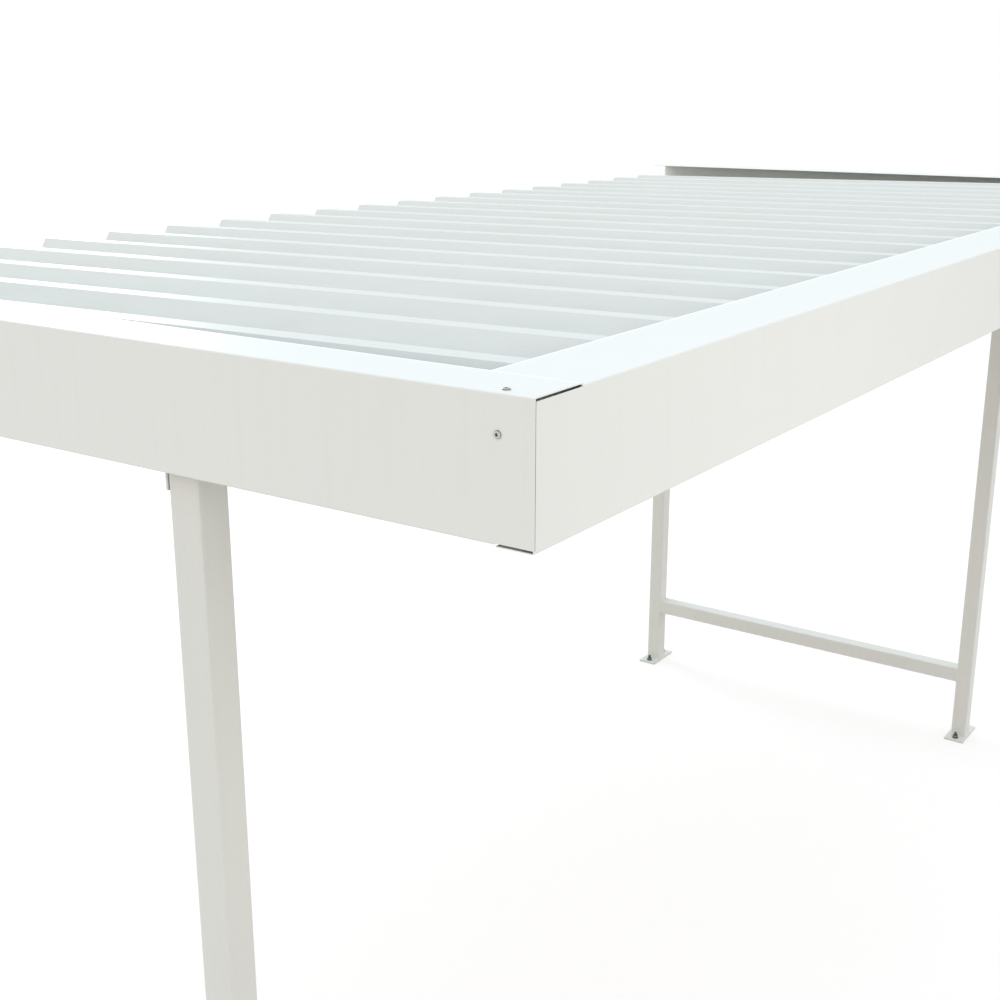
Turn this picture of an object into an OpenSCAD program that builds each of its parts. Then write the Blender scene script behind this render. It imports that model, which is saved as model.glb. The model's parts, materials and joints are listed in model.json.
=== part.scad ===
// Open bike shelter: four square posts under a flat roof of trapezoidal sheet.
// The fascias are level. Inside them the beams, purlins and sheets are laid to the roof's fall.
// Origin: on the ground under the middle of the roof. X runs along the length, +Y to the rear.

/* [Roof size] */
// Length over the gable fascias
roof_length = 4365; // [3600:5:5300]
// Depth from the front fascia to the rear edge of the sheets
roof_depth = 2160; // [1750:10:2600]
// Height of the gable fascias' top above the ground
front_height = 2332; // [1900:10:2900]
// Fall of the sheets towards the rear, in degrees
roof_fall = 0.84; // [0:0.01:1]

/* [Fascias] */
// Height of the fascias
fascia_height = 187; // [175:1:230]
// Thickness of the folded fascia steel
fascia_steel = 1.5; // [1:0.5:2]
// Outer bend radius of the fascias
fascia_bend = 2.2; // [2.2:0.1:4]
// Width of the front fascia's top flange
front_flange = 141; // [120:1:180]
// Width of the front fascia's bottom flange
front_return = 55; // [40:1:80]
// Depth of the front fascia below the gable fascias, at the top and at the bottom
front_step = 2.4; // [0.5:0.1:4]
// Width of the gable fascias' top flange
gable_flange = 104; // [90:1:130]
// Width of the gable fascias' bottom lip
gable_lip = 18; // [12:1:24]
// Open slot where one fascia passes over another at a corner
corner_slot = 3.2; // [1.5:0.1:4]
// Length of the slanted end of a corner slot
slot_slant = 6; // [3:1:10]
// Clearance between two fascias at a seam
seam_gap = 1; // [0.2:0.1:2]

/* [Posts] */
// Width of the square posts, beams and rails
tube_width = 60; // [50:1:80]
// Wall of the square tubes
tube_wall = 3; // [2:0.5:3.5]
// Outer corner radius of the square tubes
tube_corner = 4; // [4:0.5:8]
// Distance from the front fascia's face to the front posts
front_setback = 588; // [400:10:700]
// Distance from the rear edge of the sheets to the rear posts
rear_setback = 36; // [30:1:300]
// Distance from a gable fascia's face to the posts
side_setback = 25; // [25:1:60]

/* [Feet] */
// Length of the foot plates along the roof
foot_length = 180; // [160:1:240]
// Width of the foot plates
foot_width = 80; // [70:1:160]
// Thickness of the foot plates
foot_steel = 8; // [6:1:15]
// Distance between a foot plate's two anchor holes, one on each side of the post
anchor_spacing = 130; // [104:1:140]
// Diameter of the anchor holes
anchor_hole = 14; // [10:1:16]

/* [Rails] */
// Height of the gable rails' underside above the ground
rail_height = 245; // [150:5:900]

/* [Sheets] */
// Distance from one rib to the next
rib_pitch = 207; // [170:1:250]
// Width across the top of a rib
rib_top = 42; // [30:1:60]
// Height of the ribs
rib_height = 35; // [20:1:40]
// Horizontal run of a rib's sloping side
rib_run = 23; // [15:1:35]
// Thickness of the sheets
sheet_steel = 1; // [0.7:0.1:1.2]
// Clearance between the lapped ribs and the front fascia's top flange, at its wall
sheet_gap = 0.2; // [0.1:0.1:15]
// Distance from the left gable fascia's face to the first rib's middle
first_rib = 208; // [160:2:340]
// Distance from the fascia's inner face to the end or side of the sheets
sheet_margin = 8; // [4:1:20]
// Clearance between two sheets where they lap
lap_gap = 0.1; // [0.05:0.05:0.3]
// Height of a lapping sheet's lower edge above the valley
lap_end = 4; // [2:1:10]

/* [Roof frame] */
// Height of the purlins
purlin_height = 45; // [38:1:54]
// Width of the purlins
purlin_width = 40; // [30:1:60]
// Wall of the purlins
purlin_wall = 2; // [1.5:0.5:4]

/* [Brackets] */
// Thickness of the head cleats
cleat_steel = 4; // [3:0.5:6]
// Length of the head cleats below the beam
cleat_drop = 67; // [60:1:120]
// Length of the head cleats along the beam
cleat_reach = 60; // [40:1:90]
// Width of the cleats and their packers
cleat_width = 60; // [40:1:70]
// Thickness of the rubber packers between cleats and posts
packer_steel = 1.5; // [1:0.5:5]
// Height of the packers
packer_height = 50; // [30:1:50]
// Diameter of the cleat and packer bolt holes
cleat_hole = 9; // [8:0.5:11]
// Thickness of the fascia brackets
bracket_steel = 3; // [2:0.5:4]
// Width of the fascia brackets
bracket_width = 50; // [40:1:80]
// Height of the leg behind the fascia
bracket_leg = 48; // [30:1:50]
// Thickness of the corner brackets
corner_steel = 2; // [1.5:0.5:3]
// Length of a corner bracket's legs
corner_leg = 88; // [80:1:100]
// Height of a corner bracket's leg behind the gable fascia
side_leg_height = 70; // [60:1:90]
// Clearance between a corner bracket and the front purlin
front_leg_gap = 2; // [1:0.5:6]
// Distance from the front fascia's wall to the tab of a corner bracket
tab_setback = 14; // [8:1:20]
// Diameter of the screw holes at the corners
screw_hole = 6.5; // [5:0.5:8]
// Distance from the roof's corner to the screw in the gable fascia's wall
wall_screw_inset = 52; // [30:1:80]
// Depth of the wall screw below the fascia's top
wall_screw_drop = 50; // [20:1:60]
// Distance from the roof's corner to the screw in the gable fascia's top flange
top_screw_inset = 53; // [30:1:80]
// Distance from the gable fascia's face to the top screw
top_screw_side = 20; // [14:1:70]

/* [Hidden] */
$fn = 48;
cut = 1;

left = -roof_length / 2;
front = -roof_depth / 2;
rear = roof_depth / 2;

// Depth of the rib tops below the gable fascias' top, at the front
sheet_drop = front_step + fascia_steel + sheet_steel + lap_gap + sheet_gap;

// Heights in the frame of the sloping parts, above the gable beams' underside
beam_top = tube_width;
purlin_top = beam_top + purlin_height;
valley_level = purlin_top + sheet_steel;
rib_level = valley_level + rib_height;

// Distances in the same frame, back from the front fascia's inner face
inner_front = front + fascia_steel;
front_post_line = front_setback + tube_width / 2 - fascia_steel;
rear_post_line = roof_depth - rear_setback - tube_width / 2 - fascia_steel;
purlin_lines = [
    purlin_width / 2,
    front_post_line,
    (front_post_line + rear_post_line) / 2,
    rear_post_line
];
bracket_lines = [for (i = [0 : 2]) (purlin_lines[i] + purlin_lines[i + 1]) / 2];
frame_height = front_height - sheet_drop - rib_level;

post_x = -left - side_setback - tube_width / 2;
front_post_y = inner_front + front_post_line;
rear_post_y = inner_front + rear_post_line;
post_spacing = rear_post_y - front_post_y;

// Ribs are numbered from the left, from 0
rib_slope = atan(rib_height / rib_run);
sheet_edge = -left - fascia_steel - sheet_margin;
last_rib = floor((sheet_edge - left - first_rib - rib_top / 2 - rib_run) / rib_pitch);
sheet_count = 5;
first_lap_rib = 3;
ribs_per_sheet = floor((last_rib + 1) / (sheet_count - 1));

// Frames and shapes that several pieces share

// Takes a fascia to the fascias' top
module at_top() {
    translate([0, 0, front_height])
        children();
}

// Lays a part of the sloping frame to its fall: y = 0 is at the front fascia, z = 0 under the beams
module on_fall() {
    translate([0, inner_front, frame_height])
        rotate([-roof_fall, 0, 0])
            children();
}

// Mirrors a left-hand piece for the right-hand end: side is -1 or 1
module at_end(side) {
    mirror([side > 0 ? 1 : 0, 0, 0])
        children();
}

// Mirrors a front piece about the middle of the two posts: row is -1 for front, 1 for rear
module at_post(row) {
    middle = (front_post_y + rear_post_y) / 2;
    translate([0, middle, 0])
        mirror([0, row > 0 ? 1 : 0, 0])
            translate([0, -middle, 0])
                children();
}

// A square with true round corners
module round_square(width, depth, radius) {
    square([width - 2 * radius, depth], center = true);
    square([width, depth - 2 * radius], center = true);
    for (x = [-1, 1], y = [-1, 1])
        translate([x * (width / 2 - radius), y * (depth / 2 - radius)])
            circle(radius);
}

module tube_section(width, depth, wall, radius) {
    difference() {
        round_square(width, depth, radius);
        round_square(width - 2 * wall, depth - 2 * wall, radius - wall);
    }
}

// A quarter ring that joins two flat strips: its centre is inside the fold
module fold_arc(outer, steel) {
    intersection() {
        difference() {
            circle(outer);
            circle(outer - steel);
        }
        translate([-outer - cut, -outer - cut])
            square(outer + cut);
    }
}

// A folded C: the wall stands on the Y axis, the top flange is at y = 0 and both flanges point to +X
module fascia_section(height, top, bottom, steel, bend) {
    translate([bend, -steel])
        square([top - bend, steel]);
    translate([bend, -bend])
        mirror([0, 1])
            fold_arc(bend, steel);
    translate([0, bend - height])
        square([steel, height - 2 * bend]);
    translate([bend, bend - height])
        fold_arc(bend, steel);
    translate([bend, -height])
        square([bottom - bend, steel]);
}

// Pieces

module post(side, row) {
    color("#dcded7")
        at_end(side) at_post(row)
            difference() {
                translate([-post_x, front_post_y, foot_steel])
                    linear_extrude(front_height)
                        tube_section(tube_width, tube_width, tube_wall, tube_corner);
                // The top is cut along the beam's underside
                at_post(row) above_beam_bottom();
            }
}

// Everything above the underside of the gable beams
module above_beam_bottom() {
    on_fall()
        translate([left, 0, 0])
            cube([roof_length, 2 * roof_depth, front_height]);
}

module foot_plate(side, row) {
    color("#dcded7")
        at_end(side) at_post(row)
            translate([-post_x, front_post_y, 0])
                difference() {
                    translate([-foot_length / 2, -foot_width / 2, 0])
                        cube([foot_length, foot_width, foot_steel]);
                    for (x = [-1, 1])
                        translate([x * anchor_spacing / 2, 0, -cut])
                            cylinder(d = anchor_hole, h = foot_steel + 2 * cut);
                }
}

module gable_rail(side) {
    color("#dcded7")
        at_end(side)
            translate([-post_x, front_post_y + tube_width / 2, rail_height + tube_width / 2])
                rotate([-90, 0, 0])
                    linear_extrude(post_spacing - tube_width)
                        tube_section(tube_width, tube_width, tube_wall, tube_corner);
}

module gable_beam(side) {
    color("#dcded7")
        on_fall() at_end(side)
            translate([-post_x, 0, beam_top - tube_width / 2])
                rotate([-90, 0, 0])
                    linear_extrude(rear_post_line + tube_width / 2)
                        tube_section(tube_width, tube_width, tube_wall, tube_corner);
}

module purlin(line) {
    purlin_length = roof_length - 2 * side_setback;
    color("#dcded7")
        on_fall()
            translate([-purlin_length / 2, line, purlin_top - purlin_height / 2])
                rotate([0, 90, 0])
                    linear_extrude(purlin_length)
                        tube_section(purlin_height, purlin_width, purlin_wall, purlin_wall + 1);
}

// A slot along an edge with one slanted end: it runs from x = 0 to x = slot_length
module edge_slot(slot_length, slot_height, depth) {
    translate([0, depth, 0])
        rotate([90, 0, 0])
            linear_extrude(2 * depth)
                polygon([
                    [-cut, -cut],
                    [slot_length, -cut],
                    [slot_length, 0],
                    [slot_length + slot_slant, 0],
                    [slot_length, slot_height],
                    [-cut, slot_height]
                ]);
}

module front_fascia() {
    wall_end = left + fascia_steel + seam_gap;
    wall_bottom = fascia_steel + corner_slot - fascia_height - front_step;
    color("#e9eae5")
        at_top()
            difference() {
                translate([left, front, -front_step])
                    rotate([90, 0, 90])
                        linear_extrude(roof_length)
                            fascia_section(fascia_height, front_flange, front_return,
                                fascia_steel, fascia_bend);
                for (side = [-1, 1])
                    at_end(side) {
                        // The top flange ends beside the gable flange, a step lower
                        translate([left - cut, front - cut, -front_step - fascia_steel])
                            cube([gable_flange + seam_gap + cut, front_flange + 2 * cut,
                                fascia_steel + cut]);
                        // A slot stays open under the gable flange
                        translate([left, front, -fascia_steel])
                            mirror([0, 0, 1])
                                edge_slot(gable_flange, corner_slot, 2 * fascia_bend);
                        // The wall stops inside the gable fascia, and the bottom flange runs on
                        translate([left - cut, front - cut, wall_bottom])
                            cube([wall_end - left + cut, front_flange, fascia_height]);
                    }
            }
}

module gable_fascia(side) {
    color("#e1e3dc")
        at_top() at_end(side)
            difference() {
                translate([left, front, 0])
                    rotate([90, 0, 0])
                        mirror([0, 0, 1])
                            linear_extrude(roof_depth)
                                fascia_section(fascia_height, gable_flange, gable_lip,
                                    fascia_steel, fascia_bend);
                // The front fascia's bottom flange passes under the wall, with a slot above it
                translate([left, front, -fascia_height - front_step])
                    rotate([0, 0, 90])
                        edge_slot(front_return, fascia_steel + corner_slot, gable_lip + cut);
                corner_screw_holes();
            }
}

// The two screws that hold a gable fascia to its corner bracket
module corner_screw_holes() {
    hole_length = fascia_steel + corner_steel + 2 * cut;
    translate([left - cut, front + wall_screw_inset, -wall_screw_drop])
        rotate([0, 90, 0])
            cylinder(d = screw_hole, h = hole_length);
    translate([left + top_screw_side, front + top_screw_inset, cut - hole_length])
        cylinder(d = screw_hole, h = hole_length);
}

// A leg behind each fascia's wall and a tab under the gable flange
module corner_bracket(side) {
    inner_left = left + fascia_steel;
    leg_top = -fascia_steel - fascia_bend;
    purlin_level = -sheet_drop - rib_height - sheet_steel;
    front_leg_bottom = purlin_level + front_leg_gap;
    front_leg_height = leg_top - front_step - front_leg_bottom;
    color("#c9ccc8")
        at_top() at_end(side)
            difference() {
                union() {
                    translate([inner_left, inner_front, leg_top - side_leg_height])
                        cube([corner_steel, corner_leg, side_leg_height]);
                    translate([inner_left, inner_front, front_leg_bottom])
                        cube([corner_leg, corner_steel, front_leg_height]);
                    // The tab starts behind the open slot, so that nothing closes it
                    translate([inner_left, inner_front + corner_leg, 0])
                        rotate([90, 0, 0])
                            linear_extrude(corner_leg - tab_setback)
                                tab_section(leg_top);
                }
                corner_screw_holes();
            }
}

// A tab and the top of its leg, with the fold flattened to keep clear of the gable fascia's bend
module tab_section(leg_top) {
    inside = corner_steel * tan(22.5);
    polygon([
        [0, leg_top - corner_steel],
        [0, leg_top],
        [fascia_bend, -fascia_steel],
        [corner_leg, -fascia_steel],
        [corner_leg, -fascia_steel - corner_steel],
        [fascia_bend + inside, -fascia_steel - corner_steel],
        [corner_steel, leg_top - inside],
        [corner_steel, leg_top - corner_steel]
    ]);
}

// An angle that stands on the gable beam and holds the fascia's wall
module fascia_bracket(side, line) {
    inner_left = left + fascia_steel;
    color("#c9ccc8")
        on_fall() at_end(side)
            translate([inner_left, line - bracket_width / 2, beam_top]) {
                cube([side_setback - fascia_steel + tube_width, bracket_width, bracket_steel]);
                translate([0, 0, bracket_steel - bracket_leg])
                    cube([bracket_steel, bracket_width, bracket_leg]);
            }
}

// Trapezoidal sheet

function rib_middle(rib) = left + first_rib + rib * rib_pitch;

// One rib's outline: rise lifts it over a rib that it laps, under is the depth below the upper face
function rib_line(middle, rise, under) =
    let (
        foot = rib_top / 2 + rib_run + rise / sin(rib_slope) - under * tan(rib_slope / 2),
        shoulder = rib_top / 2 + (rise - under) * tan(rib_slope / 2),
        foot_level = valley_level - under,
        top_level = valley_level + rib_height + rise - under
    )
    [
        [middle - foot, foot_level],
        [middle - shoulder, top_level],
        [middle + shoulder, top_level],
        [middle + foot, foot_level]
    ];

// A sheet's left end: either in the valley by the gable, or on the side of the rib that it laps
function sheet_start(index, first, lift, under) =
    let (middle = rib_middle(first))
    index == 0
        ? concat([[-sheet_edge, valley_level - under]], rib_line(middle, 0, under))
        : concat(
            [[
                middle - rib_top / 2 - rib_run - (lift - under) / sin(rib_slope) + lap_end / tan(rib_slope),
                valley_level + lap_end
            ]],
            [for (i = [1 : 3]) rib_line(middle, lift, under)[i]]
        );

// A sheet's right end: either in the valley by the gable, or on the top of the rib that is lapped
function sheet_stop(index, last, lift, under) =
    let (lapped = rib_line(rib_middle(last + 1), 0, under))
    index == sheet_count - 1
        ? [[sheet_edge, valley_level - under]]
        : [lapped[0], lapped[1], [rib_middle(last + 1) + rib_top / 2 - lift, lapped[1][1]]];

// One whole face of a sheet, from left to right
function sheet_face(index, under) =
    let (
        lift = sheet_steel + lap_gap,
        first = index == 0 ? 0 : first_lap_rib + (index - 1) * ribs_per_sheet,
        last = index == sheet_count - 1 ? last_rib : first_lap_rib + index * ribs_per_sheet - 1
    )
    concat(
        sheet_start(index, first, lift, under),
        [for (rib = [first + 1 : 1 : last], point = rib_line(rib_middle(rib), 0, under)) point],
        sheet_stop(index, last, lift, under)
    );

module roof_sheet(index) {
    upper = sheet_face(index, 0);
    lower = sheet_face(index, sheet_steel);
    // The rib tops end level with the fascias' rear ends
    sheet_end = (rear - inner_front - rib_level * sin(roof_fall)) / cos(roof_fall);
    color("#dae4e3")
        on_fall()
            translate([0, sheet_end, 0])
                rotate([90, 0, 0])
                    linear_extrude(sheet_end - sheet_margin)
                        polygon(concat(upper, [for (i = [len(lower) - 1 : -1 : 0]) lower[i]]));
}

// Height of a cleat's lower end above the ground
function cleat_bottom(row) =
    frame_height - (row < 0 ? front_post_line : rear_post_line) * tan(roof_fall) - cleat_drop;

// An angle under the beam whose leg is bolted to the post through a packer
module head_cleat(side, row) {
    bottom = cleat_bottom(row);
    ledge = bottom + cleat_drop - cleat_steel;
    color("#dcded7")
        at_end(side) at_post(row)
            difference() {
                translate([-post_x - cleat_width / 2, front_post_y + tube_width / 2 + packer_steel, 0]) {
                    translate([0, 0, bottom])
                        cube([cleat_width, cleat_steel, 2 * cleat_drop]);
                    translate([0, 0, ledge])
                        cube([cleat_width, cleat_reach, cleat_drop]);
                }
                at_post(row) above_beam_bottom();
                cleat_bolt_hole(bottom);
            }
}

module cleat_packer(side, row) {
    bottom = cleat_bottom(row);
    color("#3c3f3e")
        at_end(side) at_post(row)
            difference() {
                translate([-post_x - cleat_width / 2, front_post_y + tube_width / 2, bottom])
                    cube([cleat_width, packer_steel, packer_height]);
                cleat_bolt_hole(bottom);
            }
}

module cleat_bolt_hole(bottom) {
    translate([-post_x, front_post_y + tube_width / 2 - cut, bottom + packer_height / 2])
        rotate([-90, 0, 0])
            cylinder(d = cleat_hole, h = packer_steel + cleat_steel + 2 * cut);
}

post(-1, -1);  // post_left_front
post(-1, 1);  // post_left_rear
post(1, -1);  // post_right_front
post(1, 1);  // post_right_rear
foot_plate(-1, -1);  // foot_plate_left_front
foot_plate(-1, 1);  // foot_plate_left_rear
foot_plate(1, -1);  // foot_plate_right_front
foot_plate(1, 1);  // foot_plate_right_rear
gable_rail(-1);  // gable_rail_left
gable_rail(1);  // gable_rail_right
gable_beam(-1);  // gable_beam_left
gable_beam(1);  // gable_beam_right
purlin(purlin_lines[0]);  // front_purlin
purlin(purlin_lines[1]);  // front_post_purlin
purlin(purlin_lines[2]);  // middle_purlin
purlin(purlin_lines[3]);  // rear_purlin
front_fascia();
gable_fascia(-1);  // gable_fascia_left
gable_fascia(1);  // gable_fascia_right
roof_sheet(0);  // roof_sheet_1
roof_sheet(1);  // roof_sheet_2
roof_sheet(2);  // roof_sheet_3
roof_sheet(3);  // roof_sheet_4
roof_sheet(4);  // roof_sheet_5
head_cleat(-1, -1);  // head_cleat_left_front
head_cleat(-1, 1);  // head_cleat_left_rear
head_cleat(1, -1);  // head_cleat_right_front
head_cleat(1, 1);  // head_cleat_right_rear
cleat_packer(-1, -1);  // cleat_packer_left_front
cleat_packer(-1, 1);  // cleat_packer_left_rear
cleat_packer(1, -1);  // cleat_packer_right_front
cleat_packer(1, 1);  // cleat_packer_right_rear
corner_bracket(-1);  // corner_bracket_left
corner_bracket(1);  // corner_bracket_right
fascia_bracket(-1, bracket_lines[0]);  // fascia_bracket_left_1
fascia_bracket(-1, bracket_lines[1]);  // fascia_bracket_left_2
fascia_bracket(-1, bracket_lines[2]);  // fascia_bracket_left_3
fascia_bracket(1, bracket_lines[0]);  // fascia_bracket_right_1
fascia_bracket(1, bracket_lines[1]);  // fascia_bracket_right_2
fascia_bracket(1, bracket_lines[2]);  // fascia_bracket_right_3
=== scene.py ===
import json
import math
import bpy
from mathutils import Matrix, Vector


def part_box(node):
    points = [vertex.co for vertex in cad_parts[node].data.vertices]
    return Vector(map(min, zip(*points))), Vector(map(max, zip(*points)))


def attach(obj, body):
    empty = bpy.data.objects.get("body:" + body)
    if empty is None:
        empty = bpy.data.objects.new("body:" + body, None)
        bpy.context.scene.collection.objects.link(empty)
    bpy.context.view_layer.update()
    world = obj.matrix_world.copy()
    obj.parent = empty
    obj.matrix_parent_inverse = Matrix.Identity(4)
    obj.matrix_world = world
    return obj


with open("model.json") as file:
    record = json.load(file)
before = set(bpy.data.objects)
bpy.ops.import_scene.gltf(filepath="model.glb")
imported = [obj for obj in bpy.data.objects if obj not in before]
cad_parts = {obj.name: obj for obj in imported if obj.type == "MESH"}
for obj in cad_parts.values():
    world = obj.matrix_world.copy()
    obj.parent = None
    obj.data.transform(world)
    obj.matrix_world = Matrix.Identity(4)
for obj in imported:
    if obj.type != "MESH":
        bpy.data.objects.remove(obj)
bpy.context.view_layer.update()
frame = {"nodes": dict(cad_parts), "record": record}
nodes = frame["nodes"]
record = frame["record"]
sides = ("left", "right")
rows = ("front", "rear")
mm = 0.001
print("frame loaded:", len(nodes), "nodes")


# Colours are written as sRGB hex and turned linear here
def hexToLinear(code):
    channels = [int(code[i:i + 2], 16) / 255 for i in (1, 3, 5)]
    linear = [c / 12.92 if c <= 0.04045 else ((c + 0.055) / 1.055) ** 2.4 for c in channels]
    return (*linear, 1.0)


# Adds one node with its settings, socket values and links
def addNode(tree, kind, values=None, links=None, **settings):
    node = tree.nodes.new(kind)
    for name, value in settings.items():
        setattr(node, name, value)
    for socket, value in (values or {}).items():
        node.inputs[socket].default_value = value
    for socket, source in (links or {}).items():
        tree.links.new(source, node.inputs[socket])
    return node


# The roof's fall, read from the first and the last purlin
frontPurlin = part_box("front_purlin")
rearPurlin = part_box("rear_purlin")
fallRun = rearPurlin[0].y - frontPurlin[0].y
roofFall = math.atan2(frontPurlin[1].z - rearPurlin[1].z, fallRun)
laidOnFall = Matrix.Rotation(-roofFall, 4, "X")


def middle(name):
    low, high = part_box(name)
    return (low + high) / 2


def deselectAll():
    if bpy.context.object and bpy.context.object.mode != "OBJECT":
        bpy.ops.object.mode_set(mode="OBJECT")
    bpy.ops.object.select_all(action="DESELECT")


def newPiece(name):
    piece = bpy.context.object
    piece.name = name
    piece.data.name = name
    return piece


def pickFaces(piece, test):
    bpy.ops.object.mode_set(mode="EDIT")
    bpy.ops.mesh.select_mode(type="FACE")
    bpy.ops.mesh.select_all(action="DESELECT")
    bpy.ops.object.mode_set(mode="OBJECT")
    for face in piece.data.polygons:
        face.select = test(face.center, face.normal)
    bpy.ops.object.mode_set(mode="EDIT")


def pickEdges(piece, test):
    bpy.ops.object.mode_set(mode="EDIT")
    bpy.ops.mesh.select_mode(type="EDGE")
    bpy.ops.mesh.select_all(action="DESELECT")
    bpy.ops.object.mode_set(mode="OBJECT")
    points = piece.data.vertices
    for edge in piece.data.edges:
        start, end = (points[i].co for i in edge.vertices)
        edge.select = test((start + end) / 2, (end - start).normalized())
    bpy.ops.object.mode_set(mode="EDIT")


def pointsUp(centre, normal):
    return normal.z > 0.99


def pointsDown(centre, normal):
    return normal.z < -0.99


def isLevel(centre, normal):
    return abs(normal.z) > 0.99


def standsUpright(centre, along):
    return abs(along.z) > 0.99


# Cuts a piece with another one, which is then gone
def cutWith(piece, cutter, how):
    deselectAll()
    piece.select_set(True)
    bpy.context.view_layer.objects.active = piece
    trim = piece.modifiers.new("trim", "BOOLEAN")
    trim.object = cutter
    trim.operation = how
    trim.solver = "EXACT"
    bpy.ops.object.modifier_apply(modifier=trim.name)
    bpy.data.objects.remove(cutter)


def finishMesh(piece, angle=35):
    deselectAll()
    piece.select_set(True)
    bpy.context.view_layer.objects.active = piece
    bpy.ops.object.transform_apply(location=True, rotation=True, scale=True)
    bpy.ops.object.mode_set(mode="EDIT")
    bpy.ops.mesh.select_all(action="SELECT")
    bpy.ops.mesh.remove_doubles(threshold=0.02 * mm)
    bpy.ops.mesh.normals_make_consistent(inside=False)
    bpy.ops.object.mode_set(mode="OBJECT")
    bpy.ops.object.shade_smooth_by_angle(angle=math.radians(angle))


def joinPieces(name, parts):
    deselectAll()
    for part in parts:
        part.select_set(True)
    bpy.context.view_layer.objects.active = parts[0]
    if len(parts) > 1:
        bpy.ops.object.join()
    return newPiece(name)


# A copy with its own mesh, put in place in the mesh itself
def copyTo(source, name, place):
    copy = source.copy()
    copy.data = source.data.copy()
    bpy.context.scene.collection.objects.link(copy)
    copy.name = name
    copy.data.name = name
    copy.data.transform(place)
    copy.hide_render = False
    copy.hide_viewport = False
    return copy


def onObject(piece):
    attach(piece, "root")


def startMaterial(name):
    material = bpy.data.materials.new(name)
    material.use_nodes = True
    tree = material.node_tree
    tree.nodes.clear()
    coords = addNode(tree, "ShaderNodeTexCoord").outputs["Object"]
    shader = addNode(tree, "ShaderNodeBsdfPrincipled")
    addNode(tree, "ShaderNodeOutputMaterial", links={"Surface": shader.outputs["BSDF"]})
    return material, tree, coords, shader


# A noise whose patches are about size metres across, drawn out by stretch along each axis
def addNoise(tree, coords, size, stretch=(1, 1, 1), detail=2.0):
    scale = tuple(1 / (size * s) for s in stretch)
    mapped = addNode(tree, "ShaderNodeMapping", {"Scale": scale}, {"Vector": coords})
    noise = addNode(tree, "ShaderNodeTexNoise", {"Scale": 1.0, "Detail": detail, "Roughness": 0.5},
                    {"Vector": mapped.outputs["Vector"]})
    return noise.outputs["Fac"]


def addRange(tree, source, low, high, newLow, newHigh):
    limits = {"From Min": low, "From Max": high, "To Min": newLow, "To Max": newHigh}
    node = addNode(tree, "ShaderNodeMapRange", limits, {"Value": source}, clamp=True)
    return node.outputs["Result"]


def addMath(tree, operation, first, second):
    node = addNode(tree, "ShaderNodeMath", operation=operation)
    for socket, value in zip(node.inputs, (first, second)):
        if isinstance(value, (int, float)):
            socket.default_value = value
        else:
            tree.links.new(value, socket)
    return node.outputs["Value"]


def addMix(tree, factor, first, second, blend="MIX"):
    node = addNode(tree, "ShaderNodeMix", data_type="RGBA", blend_type=blend)
    for name, value in (("Factor", factor), ("A", first), ("B", second)):
        socket = [s for s in node.inputs if s.name == name and s.enabled][0]
        if isinstance(value, (int, float, tuple)):
            socket.default_value = value
        else:
            tree.links.new(value, socket)
    return [s for s in node.outputs if s.enabled][0]


def addBump(tree, height, distance, strength=1.0, normal=None):
    node = addNode(tree, "ShaderNodeBump", {"Distance": distance, "Strength": strength},
                   {"Height": height})
    if normal:
        tree.links.new(normal, node.inputs["Normal"])
    return node.outputs["Normal"]


# The upward part of a surface's normal: 1 on level faces, 0 on upright ones
def addUpward(tree, which):
    normal = addNode(tree, "ShaderNodeNewGeometry").outputs[which]
    return addNode(tree, "ShaderNodeSeparateXYZ", links={0: normal}).outputs["Z"]


# Painted shade: the colour is drawn towards a dark tone where an Ambient Occlusion test finds other
# surfaces within reach, in corners, slots and recesses
def addPaintedCreviceShade(tree, colour, dirt, reach, amount, clean=0.7):
    near = addNode(tree, "ShaderNodeAmbientOcclusion", {"Distance": reach}, samples=8)
    shadeMask = addRange(tree, near.outputs["AO"], clean - 0.5, clean, amount, 0)
    return addMix(tree, shadeMask, colour, hexToLinear(dirt))


# Painted highlight: a white strip on level faces beside the inner edge lines of the gable flanges and the
# front flange, standing in for the light that a rounded edge catches
def addPaintedEdgeHighlight(tree, coords, colour, paint):
    place = addNode(tree, "ShaderNodeSeparateXYZ", links={0: coords})
    back = place.outputs["Y"]
    fromMiddle = addMath(tree, "ABSOLUTE", place.outputs["X"], 0)
    gableEdge = -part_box("gable_fascia_left")[1].x
    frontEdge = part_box("front_fascia")[1].y
    width, soft = paint["edgeWidth"], paint["edgeSoft"]
    pastGableEdge = addRange(tree, fromMiddle, gableEdge - soft, gableEdge, 0, 1)
    nearGableEdge = addRange(tree, fromMiddle, gableEdge + width, gableEdge + width + soft, 1, 0)
    alongGable = addMath(tree, "MULTIPLY", pastGableEdge, nearGableEdge)
    nearFrontEdge = addRange(tree, back, frontEdge - width - soft, frontEdge - width, 0, 1)
    betweenGables = addRange(tree, fromMiddle, gableEdge - soft, gableEdge, 1, 0)
    alongFront = addMath(tree, "MULTIPLY", nearFrontEdge, betweenGables)
    level = addRange(tree, addUpward(tree, "True Normal"), 0.97, 0.995, 0, 1)
    onTop = addMath(tree, "MULTIPLY", addMath(tree, "MAXIMUM", alongGable, alongFront), level)
    return addMix(tree, addMath(tree, "MULTIPLY", onTop, paint["edgy"]), colour,
                  hexToLinear(paint["edge"]))


# Polyester powder coat on folded or welded steel: a satin off-white skin, nearly even, that shows the
# faint waviness of a sprayed film and thin rain marks down its upright faces, with painted shade laid
# into its corners and recesses and, where a paint asks for it, a painted highlight along the flanges'
# edges
coat = {"cloud": 450 * mm, "speck": 1.6 * mm, "speckled": 0.35, "rainMark": 14 * mm, "rainLength": 22,
        "satin": 110 * mm, "peel": 3.2 * mm, "peelDepth": 0.05 * mm, "wave": 160 * mm,
        "waveDepth": 0.5 * mm, "rippleDepth": 0.5 * mm, "ior": 1.5}


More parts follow.
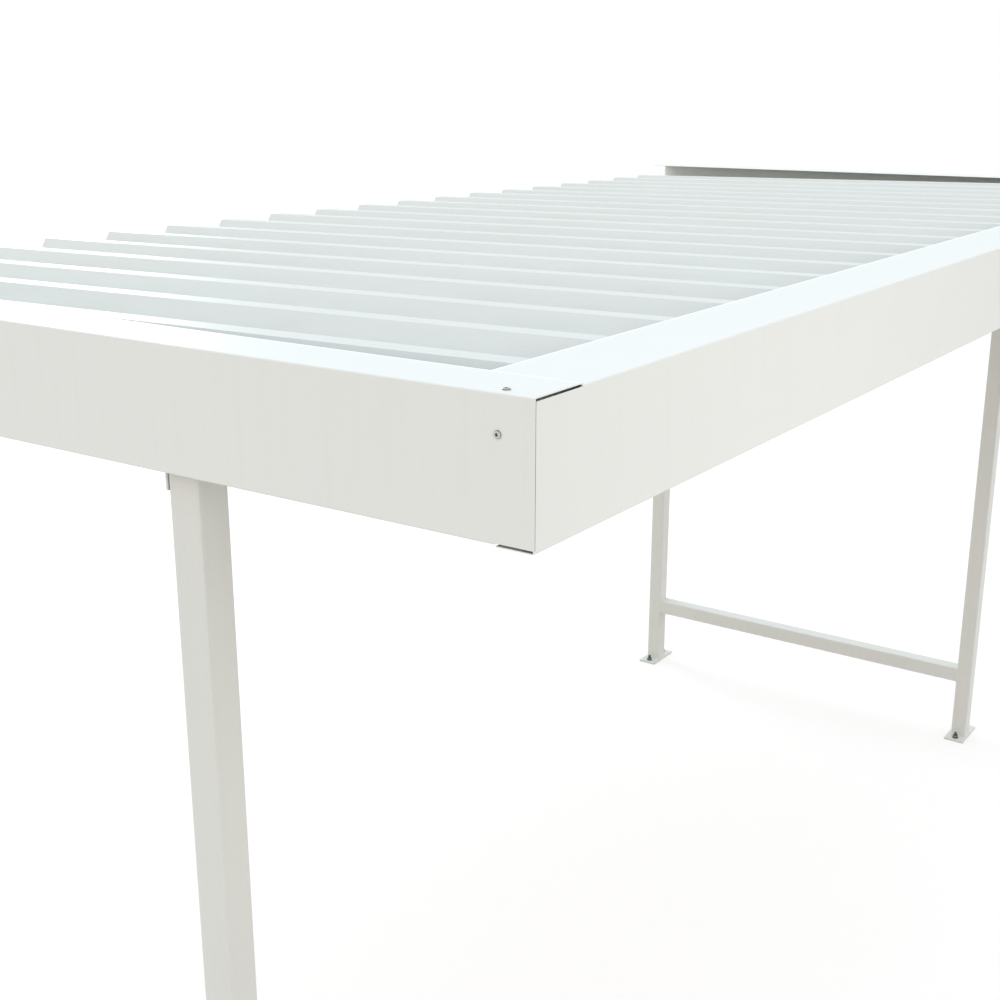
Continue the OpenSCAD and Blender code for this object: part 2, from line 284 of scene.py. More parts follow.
def powderCoatedSteel(name, paint, ripple=None):
    material, tree, coords, shader = startMaterial(name)
    broad = addRange(tree, addNoise(tree, coords, coat["cloud"], detail=3), 0.3, 0.7, 0, 1)
    colour = addMix(tree, broad, hexToLinear(paint["shade"]), hexToLinear(paint["colour"]))
    speck = addRange(tree, addNoise(tree, coords, coat["speck"]), 0.35, 0.65, 0, 1)
    speckled = addMix(tree, addMath(tree, "MULTIPLY", speck, coat["speckled"]), colour,
                      hexToLinear(paint["speck"]))
    upward = addMath(tree, "ABSOLUTE", addUpward(tree, "Normal"), 0)
    upright = addRange(tree, upward, 0.2, 0.7, 1, 0)
    drawnDown = addNoise(tree, coords, coat["rainMark"], (1, 1, coat["rainLength"]), 4)
    streak = addRange(tree, drawnDown, 0.52, 0.78, 0, 1)
    marks = addMath(tree, "MULTIPLY", addMath(tree, "MULTIPLY", streak, upright), paint["rain"])
    rained = addMix(tree, marks, speckled, hexToLinear(paint["dirt"]))
    # Painted shade: a wide soft darkening towards a dark tone, then a narrow darker one in slots and
    # tight corners
    softShadedColour = addPaintedCreviceShade(tree, rained, paint["film"], paint["filmReach"], paint["filmy"])
    shadedAndHighlighted = addPaintedCreviceShade(tree, softShadedColour, paint["grime"], paint["grimeReach"], paint["grimy"])
    # A painted highlight along the flanges' inner edges, for the paints that carry an edge colour
    if "edge" in paint:
        shadedAndHighlighted = addPaintedEdgeHighlight(tree, coords, shadedAndHighlighted, paint)
    tree.links.new(shadedAndHighlighted, shader.inputs["Base Color"])
    satin = addNoise(tree, coords, coat["satin"], detail=4)
    tree.links.new(addRange(tree, satin, 0.3, 0.7, paint["gloss"], paint["dull"]),
                   shader.inputs["Roughness"])
    film = addBump(tree, addNoise(tree, coords, coat["peel"], detail=1), coat["peelDepth"], 0.6)
    if ripple:
        beads = addNoise(tree, coords, ripple, (1, 1, 4), 1)
        film = addBump(tree, beads, coat["rippleDepth"], 0.8, film)
    wave = addBump(tree, addNoise(tree, coords, coat["wave"]), coat["waveDepth"], 0.25, film)
    tree.links.new(wave, shader.inputs["Normal"])
    shader.inputs["IOR"].default_value = coat["ior"]
    return material


# The two darkening colours in these tables, with their reaches and amounts, are painted shade laid into
# corners and slots by an Ambient Occlusion test; the white edge colour is a painted highlight
fasciaPaint = {"colour": "#f1f3ef", "shade": "#eff1ed", "speck": "#eaede9", "gloss": 0.34, "dull": 0.42,
               "dirt": "#b9b8ac", "rain": 0.035,
               "film": "#77766e", "filmReach": 90 * mm, "filmy": 0.8,
               "grime": "#2f2e2a", "grimeReach": 25 * mm, "grimy": 0.95,
               "edge": "#ffffff", "edgeWidth": 4.5 * mm, "edgeSoft": 0.5 * mm, "edgy": 1.0}
framePaint = {"colour": "#e9eae5", "shade": "#e6e7e2", "speck": "#e0e2dd", "gloss": 0.36, "dull": 0.46,
              "dirt": "#aeada1", "rain": 0.05,
              "film": "#c6c4b8", "filmReach": 60 * mm, "filmy": 0.1,
              "grime": "#8a877c", "grimeReach": 8 * mm, "grimy": 0.25}


# Coil-coated sheet: paint rolled on before forming, smoother and cooler than powder, with faint
# lines along the roll and dust left by water that dried in the valleys
sheetPaint = {"colour": "#e3e6e2", "shade": "#e1e3df", "cloud": 600 * mm, "gloss": 0.42, "dull": 0.50,
              "line": "#dcdfdb", "lineWidth": 4 * mm, "lineLength": 250, "lined": 0.3,
              "dust": "#b4b3a8", "pool": 60 * mm, "dusty": 0.10, "halfPurlin": 22.5 * mm,
              "dustFrom": 3 * mm, "dustTo": 16 * mm, "satin": 90 * mm, "film": 2.4 * mm,
              "filmDepth": 0.03 * mm, "oilCan": 130 * mm, "oilCanDepth": 0.7 * mm, "ior": 1.5}


def coilCoatedSteel(name, paint):
    material, tree, coords, shader = startMaterial(name)
    broad = addRange(tree, addNoise(tree, coords, paint["cloud"], detail=3), 0.3, 0.7, 0, 1)
    colour = addMix(tree, broad, hexToLinear(paint["shade"]), hexToLinear(paint["colour"]))
    alongRoll = addNoise(tree, coords, paint["lineWidth"], (1, paint["lineLength"], 1), 3)
    line = addRange(tree, alongRoll, 0.4, 0.7, 0, 1)
    lined = addMix(tree, addMath(tree, "MULTIPLY", line, paint["lined"]), colour,
                   hexToLinear(paint["line"]))
    # Height above the valleys, square to the sheets
    valley = addNode(tree, "ShaderNodeMapping", {
        "Location": (0, 0, -(middle("front_purlin").z + paint["halfPurlin"])),
        "Rotation": (roofFall, 0, 0)}, {"Vector": coords})
    height = addNode(tree, "ShaderNodeSeparateXYZ", links={0: valley.outputs["Vector"]}).outputs["Z"]
    low = addRange(tree, height, paint["dustFrom"], paint["dustTo"], 1, 0)
    pool = addRange(tree, addNoise(tree, coords, paint["pool"], (1, 3, 1), 5), 0.42, 0.72, 0, 1)
    dust = addMath(tree, "MULTIPLY", addMath(tree, "MULTIPLY", low, pool), paint["dusty"])
    tree.links.new(addMix(tree, dust, lined, hexToLinear(paint["dust"])), shader.inputs["Base Color"])
    satin = addNoise(tree, coords, paint["satin"], (1, 4, 1), 4)
    tree.links.new(addRange(tree, satin, 0.3, 0.7, paint["gloss"], paint["dull"]),
                   shader.inputs["Roughness"])
    film = addBump(tree, addNoise(tree, coords, paint["film"], detail=1), paint["filmDepth"], 0.5)
    waves = addNoise(tree, coords, paint["oilCan"], (1, 2.5, 1), 1)
    tree.links.new(addBump(tree, waves, paint["oilCanDepth"], 0.2, film), shader.inputs["Normal"])
    shader.inputs["IOR"].default_value = paint["ior"]
    return material


# Hot-dip galvanised steel: dull zinc with a spangle of flat crystals about a centimetre across
zincSkin = {"bright": "#b9bdbc", "dark": "#9da2a2", "crystal": 11 * mm, "facetDepth": 0.04 * mm,
            "stain": "#c9cbc8", "stainSize": 120 * mm, "gloss": 0.36, "dull": 0.56, "metallic": 0.85}


def galvanisedSteel(name, skin):
    material, tree, coords, shader = startMaterial(name)
    scaled = addNode(tree, "ShaderNodeMapping", {"Scale": (1 / skin["crystal"],) * 3}, {"Vector": coords})
    crystal = addNode(tree, "ShaderNodeTexVoronoi", {"Scale": 1.0}, {"Vector": scaled.outputs["Vector"]})
    tone = addNode(tree, "ShaderNodeSeparateColor", links={0: crystal.outputs["Color"]}).outputs[0]
    colour = addMix(tree, tone, hexToLinear(skin["dark"]), hexToLinear(skin["bright"]))
    stain = addRange(tree, addNoise(tree, coords, skin["stainSize"], detail=5), 0.5, 0.75, 0, 0.5)
    tree.links.new(addMix(tree, stain, colour, hexToLinear(skin["stain"])), shader.inputs["Base Color"])
    tree.links.new(addRange(tree, tone, 0, 1, skin["gloss"], skin["dull"]), shader.inputs["Roughness"])
    facets = addBump(tree, crystal.outputs["Distance"], skin["facetDepth"], 0.5)
    tree.links.new(facets, shader.inputs["Normal"])
    shader.inputs["Metallic"].default_value = skin["metallic"]
    return material


# Moulded rubber and plastics: matt, with a fine pale bloom and the grain of the mould
mould = {"bloom": 9 * mm, "grain": 0.7 * mm, "grainDepth": 0.05 * mm, "gloss": 0.62, "dull": 0.82,
         "ior": 1.52}


def mouldedPlastic(name, colour, bloom):
    material, tree, coords, shader = startMaterial(name)
    patch = addRange(tree, addNoise(tree, coords, mould["bloom"], detail=4), 0.35, 0.75, 0, 0.7)
    tree.links.new(addMix(tree, patch, hexToLinear(colour), hexToLinear(bloom)),
                   shader.inputs["Base Color"])
    tree.links.new(addRange(tree, patch, 0, 0.7, mould["gloss"], mould["dull"]),
                   shader.inputs["Roughness"])
    grain = addNoise(tree, coords, mould["grain"], detail=2)
    tree.links.new(addBump(tree, grain, mould["grainDepth"], 0.6), shader.inputs["Normal"])
    shader.inputs["IOR"].default_value = mould["ior"]
    return material


# Turned or pressed screws and nuts: metal with fine scuffs, and painted shade that darkens their recesses
# and the places where they sit against other parts
turned = {"scuff": 1.8 * mm, "duller": 0.16, "toolMark": 0.5 * mm, "markDepth": 0.01 * mm,
          "grime": "#262624", "grimeReach": 8 * mm, "grimy": 1.0, "clean": 0.92}


def screwMetal(name, bright, dull, gloss, metallic):
    material, tree, coords, shader = startMaterial(name)
    scuff = addRange(tree, addNoise(tree, coords, turned["scuff"], detail=5), 0.35, 0.7, 0, 1)
    colour = addMix(tree, scuff, hexToLinear(bright), hexToLinear(dull))
    shadedMetal = addPaintedCreviceShade(tree, colour, turned["grime"], turned["grimeReach"], turned["grimy"], turned["clean"])
    tree.links.new(shadedMetal, shader.inputs["Base Color"])
    tree.links.new(addRange(tree, scuff, 0, 1, gloss, gloss + turned["duller"]),
                   shader.inputs["Roughness"])
    marks = addBump(tree, addNoise(tree, coords, turned["toolMark"]), turned["markDepth"], 0.5)
    tree.links.new(marks, shader.inputs["Normal"])
    shader.inputs["Metallic"].default_value = metallic
    return material


paintedFascia = powderCoatedSteel("powder_coated_fascia_steel", fasciaPaint)
paintedFrame = powderCoatedSteel("powder_coated_square_tube", framePaint)
paintedSheet = coilCoatedSteel("coil_coated_trapezoidal_sheet", sheetPaint)
zincSteel = galvanisedSteel("hot_dip_galvanised_steel", zincSkin)
packerRubber = mouldedPlastic("moulded_grey_rubber_packer", "#b1b3ae", "#c1c3be")
washerRubber = mouldedPlastic("epdm_sealing_washer", "#1f2021", "#303231")
plugPlastic = mouldedPlastic("moulded_polyethylene_plug", "#55585a", "#626567")
stainless = screwMetal("stainless_button_head", "#cbccc7", "#a3a4a0", 0.16, 1.0)
zincNut = screwMetal("hot_dip_galvanised_nut", "#8f9492", "#6f7472", 0.42, 0.9)
paintedHead = screwMetal("painted_screw_head", "#dde4e2", "#d3dad8", 0.38, 0.0)
print("materials made")


def paintNode(name, material):
    for slot in nodes[name].material_slots:
        slot.material = material


slotLooks = {"coated_fascia": paintedFascia, "coated_frame": paintedFrame,
             "coated_sheet": paintedSheet, "galvanised": zincSteel, "packer": packerRubber}
for part in record["subparts"]:
    paintNode(part["node"], slotLooks[part["material_slot"]])
print("nodes painted")


# Corner screws: button heads with a hexagon socket, through each gable fascia and its bracket
cornerScrew = {"head": 5.25 * mm, "headHeight": 2 * mm, "shoulder": 0.72, "socket": 2 * mm,
               "socketDepth": 1.4 * mm, "shank": 3 * mm, "reach": 11 * mm, "tip": 0.5 * mm,
               "grip": 3.5 * mm, "sides": 40, "nutFlats": 10 * mm, "nutHeight": 5 * mm,
               "inFromCorner": 52 * mm, "down": 50 * mm, "backOnTop": 53 * mm, "inOnTop": 20 * mm}


def makeButtonScrew(size):
    corner = size["socket"] / math.cos(math.radians(30))
    deselectAll()
    bpy.ops.mesh.primitive_cylinder_add(vertices=6, radius=corner, depth=2 * size["socketDepth"],
                                        location=(0, 0, size["headHeight"]))
    socket = newPiece("socket_cutter")
    deselectAll()
    bpy.ops.mesh.primitive_cylinder_add(vertices=size["sides"], radius=size["head"],
                                        depth=size["headHeight"],
                                        location=(0, 0, size["headHeight"] / 2))
    screw = newPiece("corner_screw")
    bpy.ops.object.transform_apply(location=True)
    pickFaces(screw, pointsUp)
    # A rounded shoulder that leaves a flat round the socket
    bpy.ops.mesh.bevel(offset=size["headHeight"] * size["shoulder"], segments=6, affect="EDGES")
    pickFaces(screw, pointsDown)
    bpy.ops.mesh.inset(thickness=size["head"] - size["shank"])
    bpy.ops.mesh.extrude_region_move(TRANSFORM_OT_translate={"value": (0, 0, -size["reach"])})
    bpy.ops.mesh.bevel(offset=size["tip"], segments=1, affect="EDGES")
    bpy.ops.object.mode_set(mode="OBJECT")
    cutWith(screw, socket, "DIFFERENCE")
    finishMesh(screw, 30)
    return screw


# A hexagon nut: a round blank with turned shoulders, cut to six sides and bored
def makeNut(name, acrossFlats, height, bore):
    corner = acrossFlats / 2 / math.cos(math.radians(30))
    centre = (0, 0, height / 2)
    deselectAll()
    bpy.ops.mesh.primitive_cylinder_add(vertices=6, radius=corner, depth=3 * height, location=centre)
    hexagon = newPiece("hexagon_cutter")
    deselectAll()
    bpy.ops.mesh.primitive_cylinder_add(vertices=24, radius=bore, depth=3 * height, location=centre)
    drill = newPiece("bore_cutter")
    deselectAll()
    bpy.ops.mesh.primitive_cylinder_add(vertices=36, radius=corner, depth=height, location=centre)
    nut = newPiece(name)
    bpy.ops.object.transform_apply(location=True)
    pickFaces(nut, isLevel)
    shoulder = (corner - acrossFlats / 2) * 0.9
    bpy.ops.mesh.bevel(offset=shoulder, segments=2, profile=0.5, affect="EDGES")
    bpy.ops.object.mode_set(mode="OBJECT")
    cutWith(nut, hexagon, "INTERSECT")
    cutWith(nut, drill, "DIFFERENCE")
    finishMesh(nut, 25)
    return nut


# Puts a piece that points up at a place, turned to point along a direction
def pointedAt(place, direction):
    return Matrix.Translation(place) @ Vector(direction).to_track_quat("Z", "Y").to_matrix().to_4x4()


screw = makeButtonScrew(cornerScrew)
smallNut = makeNut("corner_nut", cornerScrew["nutFlats"], cornerScrew["nutHeight"], cornerScrew["shank"])
for side in sides:
    low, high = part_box("gable_fascia_" + side)
    outward = -1 if side == "left" else 1
    face = low.x if side == "left" else high.x
    onWall = Vector((face, low.y + cornerScrew["inFromCorner"], high.z - cornerScrew["down"]))
    onTop = Vector((face - outward * cornerScrew["inOnTop"], low.y + cornerScrew["backOnTop"], high.z))
    for where, place, direction in (("wall", onWall, Vector((outward, 0, 0))),
                                    ("top", onTop, Vector((0, 0, 1)))):
        label = side + "_" + where
        placed = copyTo(screw, "corner_screw_" + label, pointedAt(place, direction))
        placed.data.materials.append(stainless)
        onObject(placed)
        behind = place - direction * (cornerScrew["grip"] + cornerScrew["nutHeight"])
        held = copyTo(smallNut, "corner_nut_" + label, pointedAt(behind, direction))
        held.data.materials.append(stainless)
        onObject(held)
bpy.data.objects.remove(screw)
bpy.data.objects.remove(smallNut)
print("corner screws made")


# Ground anchors: stud, washer and nut at both ends of each foot
anchor = {"stud": 6 * mm, "root": 5.1 * mm, "pitch": 1.75 * mm, "turns": 9, "tip": 0.8 * mm,
          "sunk": 4 * mm, "washer": 12 * mm, "washerPlay": 0.5 * mm, "washerSteel": 2.5 * mm,
          "nutFlats": 19 * mm, "nutHeight": 10 * mm, "nutPlay": 0.2 * mm, "turn": 17, "turnApart": 23}


# A stud standing up from z = 0, its thread drawn as ridges a pitch apart
def makeStud(size, shankHeight):
    deselectAll()
    bpy.ops.mesh.primitive_cylinder_add(vertices=24, radius=size["root"], depth=shankHeight,
                                        location=(0, 0, shankHeight / 2))
    stud = newPiece("anchor_stud")
    bpy.ops.object.transform_apply(location=True)
    pickFaces(stud, pointsUp)
    wider = size["stud"] / size["root"]
    for turn in range(size["turns"]):
        for growth in (wider, 1 / wider):
            bpy.ops.mesh.extrude_region_move(TRANSFORM_OT_translate={"value": (0, 0, size["pitch"] / 2)})
            bpy.ops.transform.resize(value=(growth, growth, 1))
    bpy.ops.mesh.bevel(offset=size["tip"], segments=2, affect="EDGES")
    bpy.ops.object.mode_set(mode="OBJECT")
    finishMesh(stud, 30)
    return stud


# A flat ring with its rims broken
def makeWasher(name, outer, inner, steel, sidesRound=40):
    rim = steel * 0.22
    deselectAll()
    bpy.ops.mesh.primitive_cylinder_add(vertices=sidesRound, radius=outer, depth=steel,
                                        location=(0, 0, steel / 2))
    washer = newPiece(name)
    bpy.ops.object.transform_apply(location=True)
    pickFaces(washer, isLevel)
    bpy.ops.mesh.bevel(offset=rim, segments=2, affect="EDGES")
    bpy.ops.object.mode_set(mode="OBJECT")
    pickFaces(washer, isLevel)
    bpy.ops.mesh.inset(thickness=outer - inner - rim)
    bpy.ops.mesh.bridge_edge_loops()
    bpy.ops.object.mode_set(mode="OBJECT")
    finishMesh(washer, 30)
    return washer


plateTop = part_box("foot_plate_left_front")[1].z
washer = makeWasher("anchor_washer", anchor["washer"], anchor["stud"] + anchor["washerPlay"],
                    anchor["washerSteel"])
nut = makeNut("anchor_nut", anchor["nutFlats"], anchor["nutHeight"], anchor["root"] + anchor["nutPlay"])
stud = makeStud(anchor, anchor["washerSteel"] + anchor["nutHeight"] - anchor["sunk"])
anchorMounts = [mount for mount in record["mounts"] if mount["kind"] == "bolt_pattern"]
for mount in anchorMounts:
    foot = mount["name"].replace("anchors_", "")
    reach = mount["dims"]["spacing_x_mm"] * mm / 2
    for outward, end in ((-1, "a"), (1, "b")):
        spot = Vector((mount["pos_m"][0] + outward * reach, mount["pos_m"][1], plateTop))
        turn = Matrix.Rotation(math.radians(anchor["turn"] + anchor["turnApart"] * outward), 4, "Z")
        label = foot + "_" + end
        for source, name, lift in ((washer, "anchor_washer_", 0),
                                   (nut, "anchor_nut_", anchor["washerSteel"]),
                                   (stud, "anchor_stud_", 0)):
            placed = copyTo(source, name + label, Matrix.Translation(spot + Vector((0, 0, lift))) @ turn)
            placed.data.materials.append(zincNut)
            onObject(placed)
for source in (washer, nut, stud):
    bpy.data.objects.remove(source)
print("ground anchors made")


# A hexagon bolt head: turned shoulder on the outer face, flat bearing face at z = 0, shank below
def makeBolt(name, size):
    head = makeNut(name, size["flats"], size["height"], size["shank"])
    top = size["height"] - size["dish"]
    deselectAll()
    # The shank is a hair wider than the bore, so no gap shows round it
    bpy.ops.mesh.primitive_cylinder_add(vertices=24, radius=size["shank"] * 1.001,
                                        depth=top + size["reach"],
                                        location=(0, 0, (top - size["reach"]) / 2))
    shank = newPiece("shank")
    bolt = joinPieces(name, [head, shank])
    finishMesh(bolt, 28)
    return bolt


# Bolts that hold the head cleats: one through each packer into the post, one up into the beam
cleatBolt = {"flats": 13 * mm, "height": 5.3 * mm, "shank": 4 * mm, "dish": 0.4 * mm,
             "reach": 18 * mm, "washer": 8 * mm, "washerPlay": 0.3 * mm, "washerSteel": 1.6 * mm,
             "steel": 4 * mm, "drop": 67 * mm, "outOnLedge": 34 * mm}
bolt = makeBolt("cleat_bolt", cleatBolt)
washer = makeWasher("cleat_washer", cleatBolt["washer"], cleatBolt["shank"] + cleatBolt["washerPlay"],
                    cleatBolt["washerSteel"])
for side in sides:
    for row in rows:
        place = side + "_" + row
        inward = 1 if row == "front" else -1
        packerLow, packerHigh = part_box("cleat_packer_" + place)
        packerFace = packerHigh.y if inward > 0 else packerLow.y
        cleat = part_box("head_cleat_" + place)
        across = middle("cleat_packer_" + place)
        onLeg = Vector((across.x, packerFace + inward * cleatBolt["steel"], across.z))
        underLedge = Vector((across.x, packerFace + inward * cleatBolt["outOnLedge"],
                             cleat[0].z + cleatBolt["drop"] - cleatBolt["steel"]))
        for where, spot, direction in (("leg", onLeg, Vector((0, inward, 0))),
                                       ("ledge", underLedge, Vector((0, 0, -1)))):
            for source, kind, lift in ((washer, "washer", 0), (bolt, "bolt", cleatBolt["washerSteel"])):
                placed = copyTo(source, "cleat_%s_%s_%s" % (kind, where, place),
                                pointedAt(spot + direction * lift, direction))
                placed.data.materials.append(zincNut)
                onObject(placed)
for source in (bolt, washer):
    bpy.data.objects.remove(source)
print("cleat bolts made")


# Roof screws: hexagon heads on rubber washers, in the valleys over each purlin
roofScrew = {"flats": 8 * mm, "height": 4.5 * mm, "shank": 2.7 * mm, "dish": 0.3 * mm,
             "reach": 12 * mm, "seal": 8 * mm, "sealPlay": 0.2 * mm, "rubber": 2.4 * mm,
             "sealSides": 24, "sheet": 1 * mm, "edgeToRib": 41.7 * mm, "ribsPerSheet": 5,
             "ribsBeforeLap": 3, "valleys": 19}
screw = makeBolt("roof_screw", roofScrew)
seal = makeWasher("roof_screw_seal", roofScrew["seal"], roofScrew["shank"] + roofScrew["sealPlay"],
                  roofScrew["rubber"], roofScrew["sealSides"])
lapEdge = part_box("roof_sheet_2")[0].x
pitch = (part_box("roof_sheet_3")[0].x - lapEdge) / roofScrew["ribsPerSheet"]
firstValley = lapEdge + roofScrew["edgeToRib"] - (roofScrew["ribsBeforeLap"] - 0.5) * pitch
for purlin in ("front_purlin", "front_post_purlin", "middle_purlin", "rear_purlin"):
    low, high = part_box(purlin)
    halfWidth = (high.y - low.y) / 2
    level = high.z - halfWidth * math.tan(roofFall) + roofScrew["sheet"]
    heads, seals = [], []
    for valley in range(roofScrew["valleys"]):
        spot = Matrix.Translation((firstValley + valley * pitch, low.y + halfWidth, level)) @ laidOnFall
        seals.append(copyTo(seal, "seal", spot))
        heads.append(copyTo(screw, "head", spot @ Matrix.Translation((0, 0, roofScrew["rubber"]))))
    for kind, pieces, material, slotName in (("screws", heads, paintedHead, "galvanised"),
                                             ("seals", seals, washerRubber, "packer")):
        joined = joinPieces("roof_%s_on_%s" % (kind, purlin), pieces)
        joined.data.materials.append(material)
        onObject(joined)
for source in (screw, seal):
    bpy.data.objects.remove(source)
print("roof screws made")


# Fillet welds under the powder coat: round the posts on their feet and round the rails on the posts
weld = {"leg": 4 * mm, "sideLeg": 0.3 * mm, "sunk": 3.5 * mm, "corner": 7 * mm, "bulge": 0.9 * mm,
        "ripple": 2.2 * mm}


# Where the tubes are equally wide, the bead's sides lie flush and sunk in the post's rounded corners
def makeWeldCollar(size, tubeWidth, sideLeg, sunk):
    wide = tubeWidth + 2 * sideLeg
    deep = tubeWidth + 2 * size["leg"]
    deselectAll()
    bpy.ops.mesh.primitive_cube_add(size=1, location=(0, 0, (size["leg"] - sunk) / 2))
    collar = newPiece("weld_collar")
    collar.scale = (wide, deep, size["leg"] + sunk)
    bpy.ops.object.transform_apply(location=True, rotation=True, scale=True)
    pickEdges(collar, standsUpright)
    bpy.ops.mesh.bevel(offset=size["corner"], segments=6, affect="EDGES")
    pickFaces(collar, pointsUp)
    bpy.ops.transform.resize(value=(tubeWidth / wide, tubeWidth / deep, 1))
    # The bead bulges a little between the two steels
    pickFaces(collar, lambda centre, normal: abs(normal.z) < 0.9)
    bpy.ops.mesh.subdivide(number_cuts=2)
    bpy.ops.object.mode_set(mode="OBJECT")
    for point in collar.data.vertices:
        along = (point.co.z + sunk) / (size["leg"] + sunk)
        bulge = 1 + size["bulge"] * 4 * along * (1 - along) / (tubeWidth / 2)
        point.co.x *= bulge
        point.co.y *= bulge
    finishMesh(collar, 40)
    return collar


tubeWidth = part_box("gable_rail_left")[1].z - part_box("gable_rail_left")[0].z
footCollar = makeWeldCollar(weld, tubeWidth, weld["leg"], 0)
railCollar = makeWeldCollar(weld, tubeWidth, weld["sideLeg"], weld["sunk"])
beadPaint = powderCoatedSteel("powder_coated_weld_bead", framePaint, weld["ripple"])
for side in sides:
    railLow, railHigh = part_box("gable_rail_" + side)
    across = middle("gable_rail_" + side)
    for row in rows:
        post = middle("post_%s_%s" % (side, row))
        foot = Vector((post.x, post.y, plateTop))
        end = Vector((across.x, railLow.y if row == "front" else railHigh.y, across.z))
        into = Vector((0, 1 if row == "front" else -1, 0))
        for source, name, place in ((footCollar, "foot_weld_", Matrix.Translation(foot)),
                                    (railCollar, "rail_weld_", pointedAt(end, into))):
            placed = copyTo(source, name + side + "_" + row, place)
            placed.data.materials.append(beadPaint)
            onObject(placed)
for source in (footCollar, railCollar):
    bpy.data.objects.remove(source)
print("weld beads made")


# Moulded plugs that close the rear ends of the gable beams
plug = {"flange": 3 * mm, "round": 4 * mm, "rim": 1 * mm, "wall": 3.3 * mm, "depth": 14 * mm}


def makePlug(size, width):
    deselectAll()
    bpy.ops.mesh.primitive_cube_add(size=1, location=(0, 0, size["flange"] / 2))
    cap = newPiece("beam_plug")
    cap.scale = (width, width, size["flange"])
    bpy.ops.object.transform_apply(location=True, rotation=True, scale=True)
    pickEdges(cap, standsUpright)
    bpy.ops.mesh.bevel(offset=size["round"], segments=6, affect="EDGES")
    pickFaces(cap, pointsUp)
    bpy.ops.mesh.bevel(offset=size["rim"], segments=3, affect="EDGES")
    pickFaces(cap, pointsDown)
    bpy.ops.mesh.inset(thickness=size["wall"])
    bpy.ops.mesh.extrude_region_move(TRANSFORM_OT_translate={"value": (0, 0, -size["depth"])})
    bpy.ops.object.mode_set(mode="OBJECT")
    finishMesh(cap, 35)
    return cap


cap = makePlug(plug, tubeWidth)
for side in sides:
    low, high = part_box("gable_beam_" + side)
    rearEnd = Vector(((low.x + high.x) / 2, high.y - tubeWidth * math.sin(roofFall) / 2,
                      low.z + tubeWidth * math.cos(roofFall) / 2))
    placed = copyTo(cap, "beam_plug_" + side, Matrix.Translation(rearEnd) @ laidOnFall
                    @ Matrix.Rotation(math.radians(-90), 4, "X"))
    placed.data.materials.append(plugPlastic)
    onObject(placed)
bpy.data.objects.remove(cap)
print("beam plugs made")


# Stage, light and camera
stage = {"floor": 60.0, "bounce": "#c4bfb9", "shown": "#bdb9b7", "ownLight": 0.55}
sky = {"zenith": (0.885, 1.08, 1.235, 1), "horizon": (1.21, 1.035, 0.905, 1), "level": 1.0}
lamps = {
    "front_softbox": {"place": (-1.5, -3.8, 1.5), "aim": (-1.45, -1.08, 2.22), "size": (1.2, 0.8),
                      "spread": 55, "power": 0.8, "colour": "#fffdf8"},
    "rear_softbox": {"place": (3.6, 9.0, 3.8), "aim": (-2.0, 0.4, 2.33), "size": (4.0, 2.2),
                     "spread": 120, "power": 118, "colour": "#f4feff"},
}
view = {"place": (-3.4832, -1.9269, 2.6742), "heading": 34.543, "tilt": -16.62, "lens": 50.19,
        "sensor": 36, "nearest": 0.05, "farthest": 200}


# White to the eye and to anything that mirrors it
def addSeenDirectly(tree):
    path = addNode(tree, "ShaderNodeLightPath")
    seen = addMath(tree, "ADD", path.outputs["Is Camera Ray"], path.outputs["Is Glossy Ray"])
    return addMath(tree, "MINIMUM", addMath(tree, "ADD", seen, path.outputs["Is Transmission Ray"]), 1.0)


def makeFloor():
    deselectAll()
    bpy.ops.mesh.primitive_plane_add(size=stage["floor"])
    floor = newPiece("floor")
    material = bpy.data.materials.new("matt_white_floor")
    material.use_nodes = True
    tree = material.node_tree
    tree.nodes.clear()
    bounce = addNode(tree, "ShaderNodeBsdfDiffuse", {"Color": hexToLinear(stage["bounce"])})
    shown = addNode(tree, "ShaderNodeBsdfDiffuse", {"Color": hexToLinear(stage["shown"])})
    glow = addNode(tree, "ShaderNodeEmission", {"Strength": stage["ownLight"]})
    lit = addNode(tree, "ShaderNodeAddShader", links={0: shown.outputs[0], 1: glow.outputs[0]})
    mixed = addNode(tree, "ShaderNodeMixShader",
                    links={0: addSeenDirectly(tree), 1: bounce.outputs[0], 2: lit.outputs[0]})
    addNode(tree, "ShaderNodeOutputMaterial", links={"Surface": mixed.outputs[0]})
    floor.data.materials.append(material)


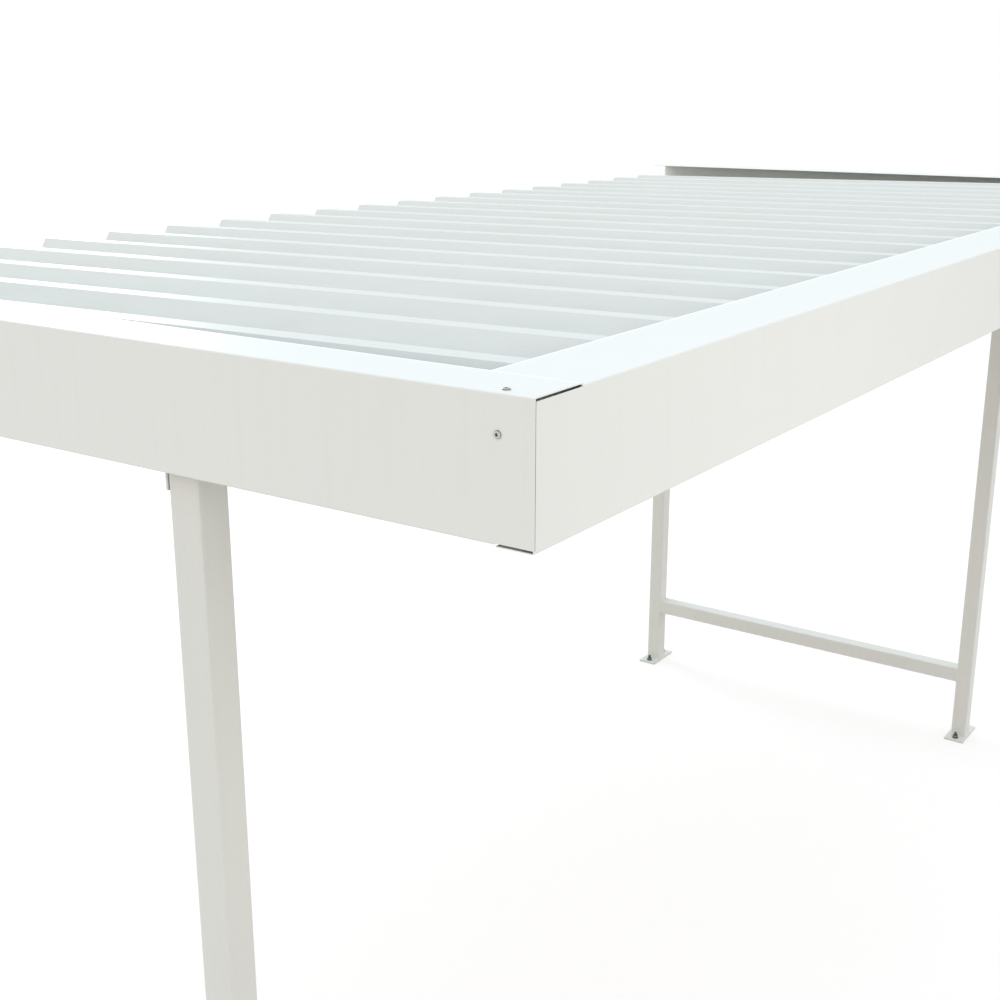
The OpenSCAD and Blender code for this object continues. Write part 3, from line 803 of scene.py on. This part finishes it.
# A soft sky, cooler from above than from the sides, behind a plain white backdrop
def makeSky():
    world = bpy.data.worlds.new("soft_sky")
    bpy.context.scene.world = world
    world.use_nodes = True
    tree = world.node_tree
    tree.nodes.clear()
    direction = addNode(tree, "ShaderNodeTexCoord").outputs["Generated"]
    height = addNode(tree, "ShaderNodeSeparateXYZ", links={0: direction}).outputs["Z"]
    colour = addMix(tree, addRange(tree, height, 0, 1, 0, 1), sky["horizon"], sky["zenith"])
    overhead = addNode(tree, "ShaderNodeBackground", {"Strength": sky["level"]}, {"Color": colour})
    white = addNode(tree, "ShaderNodeBackground", {"Color": (1, 1, 1, 1), "Strength": 1.0})
    mixed = addNode(tree, "ShaderNodeMixShader",
                    links={0: addSeenDirectly(tree), 1: overhead.outputs[0], 2: white.outputs[0]})
    addNode(tree, "ShaderNodeOutputWorld", links={"Surface": mixed.outputs[0]})


# Wide soft lamps: one lifts the open front, one glances off the roof from behind
def makeLamp(name, lamp):
    data = bpy.data.lights.new(name, "AREA")
    data.shape = "RECTANGLE"
    data.size, data.size_y = lamp["size"]
    data.energy = lamp["power"]
    data.spread = math.radians(lamp["spread"])
    data.color = hexToLinear(lamp["colour"])[:3]
    box = bpy.data.objects.new(name, data)
    bpy.context.scene.collection.objects.link(box)
    box.location = lamp["place"]
    towards = Vector(lamp["aim"]) - Vector(lamp["place"])
    box.rotation_euler = towards.to_track_quat("-Z", "Y").to_euler()
    box.visible_camera = False


def makeCamera():
    data = bpy.data.cameras.new("camera")
    data.lens = view["lens"]
    data.sensor_width = view["sensor"]
    data.clip_start = view["nearest"]
    data.clip_end = view["farthest"]
    camera = bpy.data.objects.new("camera", data)
    bpy.context.scene.collection.objects.link(camera)
    camera.location = view["place"]
    camera.rotation_euler = (math.radians(90 + view["tilt"]), 0, math.radians(view["heading"] - 90))
    bpy.context.scene.camera = camera


makeFloor()
makeSky()
for name, lamp in lamps.items():
    makeLamp(name, lamp)
makeCamera()
bpy.context.scene.view_settings.view_transform = "Standard"
print("stage, light and camera set")
